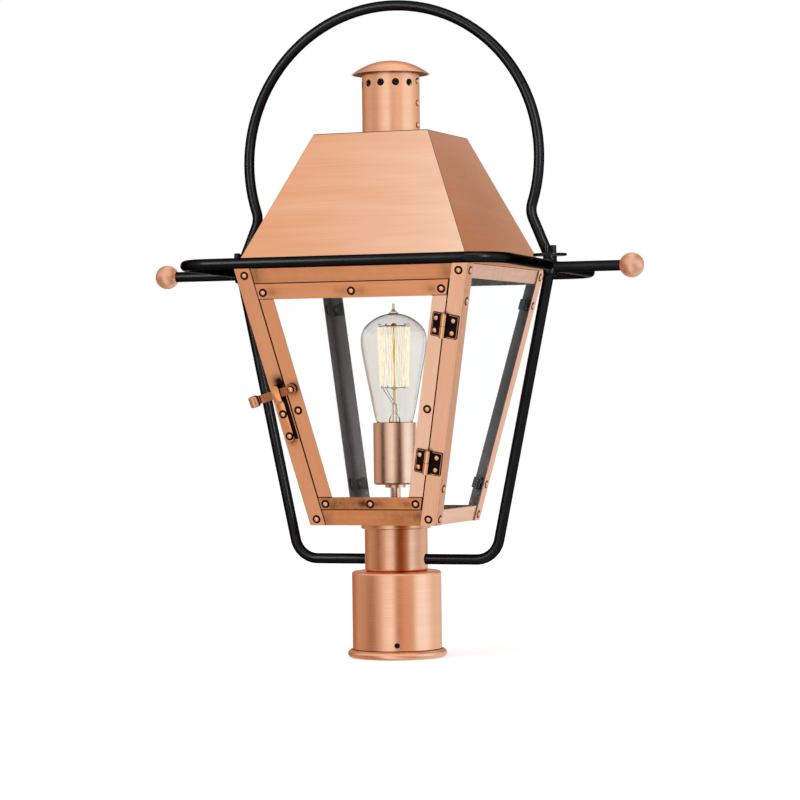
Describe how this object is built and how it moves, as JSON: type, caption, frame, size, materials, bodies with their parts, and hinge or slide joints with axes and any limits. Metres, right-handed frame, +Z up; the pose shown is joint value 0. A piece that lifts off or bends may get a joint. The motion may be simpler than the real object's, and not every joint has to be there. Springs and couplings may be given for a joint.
{
  "type": "post lantern",
  "caption": "Tapered square copper lantern for a post top: riveted cage with a hinged, latched glass door, hipped roof, vented chimney, bulb, and a black rod hoop, ring and ball-ended arms.",
  "frame": {"origin": "centre of the fitter's lower rim, where the lantern rests", "axes": "+Z up along the post, the door faces -Y, the arms run along X with the door's hinges towards +X"},
  "size_m": [0.4704, 0.3074, 0.5946],
  "materials": {
    "antique_copper": "brushed copper sheet with dark patina at rivets and seams",
    "black_rod": "semi-gloss black paint on round bar",
    "blackened_clip": "blackened sheet metal",
    "clear_glass": "clear flat glass",
    "bulb_glass": "clear blown glass",
    "zinc_steel": "zinc-plated steel",
    "phenolic": "moulded dark phenolic",
    "lamp_brass": "pressed brass lamp base",
    "tungsten": "fine tungsten wire, glowing"
  },
  "bodies": {
    "lantern": {"fitter_cup": "antique_copper", "collar": "antique_copper", "cage_floor": "antique_copper", "corner_post_front_right": "antique_copper", "corner_post_rear_right": "antique_copper", "corner_post_rear_left": "antique_copper", "corner_post_front_left": "antique_copper", "bottom_rail_front": "antique_copper", "bottom_rail_right": "antique_copper", "bottom_rail_rear": "antique_copper", "bottom_rail_left": "antique_copper", "top_rail_front": "antique_copper", "top_rail_right": "antique_copper", "top_rail_rear": "antique_copper", "top_rail_left": "antique_copper", "glass_right": "clear_glass", "glass_rear": "clear_glass", "glass_left": "clear_glass", "glass_clips": "blackened_clip", "arm_balls": "antique_copper", "door_stops": "antique_copper", "cage_rivets": "antique_copper", "roof_shell": "antique_copper", "chimney_tube": "antique_copper", "chimney_cap": "antique_copper", "chimney_rivets": "antique_copper", "hinge_post_leaves": "antique_copper", "hinge_pins": "antique_copper", "latch_keeper": "antique_copper", "fitter_set_screws": "zinc_steel", "socket_cover": "antique_copper", "lamp_pipe": "antique_copper", "pipe_nuts": "antique_copper", "lamp_socket": "phenolic", "bulb_base": "lamp_brass", "bulb_glass": "bulb_glass", "bulb_mount": "bulb_glass", "bulb_filament": "tungsten", "hoop": "black_rod", "ring": "black_rod", "side_rod_left": "black_rod", "side_rod_right": "black_rod", "arm_left": "black_rod", "arm_right": "black_rod", "hub_left": "black_rod", "hub_right": "black_rod", "hub_plates": "black_rod", "hub_studs": "black_rod"},
    "door": {"door_stile_left": "antique_copper", "door_stile_right": "antique_copper", "door_top_rail": "antique_copper", "door_bottom_rail": "antique_copper", "door_glass": "clear_glass", "door_glass_clips": "blackened_clip", "door_rivets": "antique_copper", "hinge_door_leaves": "antique_copper", "latch_pin": "antique_copper"},
    "latch": {"latch_lever": "antique_copper"}
  },
  "joints": [
    {"name": "door_swing", "type": "hinge", "parent": "lantern", "child": "door", "pos_m": [0.0693, -0.08768, 0.23509], "axis": [0.2076, -0.2076, 0.9559], "range_deg": [0, 110]},
    {"name": "latch_lift", "type": "hinge", "parent": "door", "child": "latch", "pos_m": [-0.06495, -0.08655, 0.24356], "axis": [0, 0.9772, 0.2122], "range_deg": [0, 70]}
  ]
}
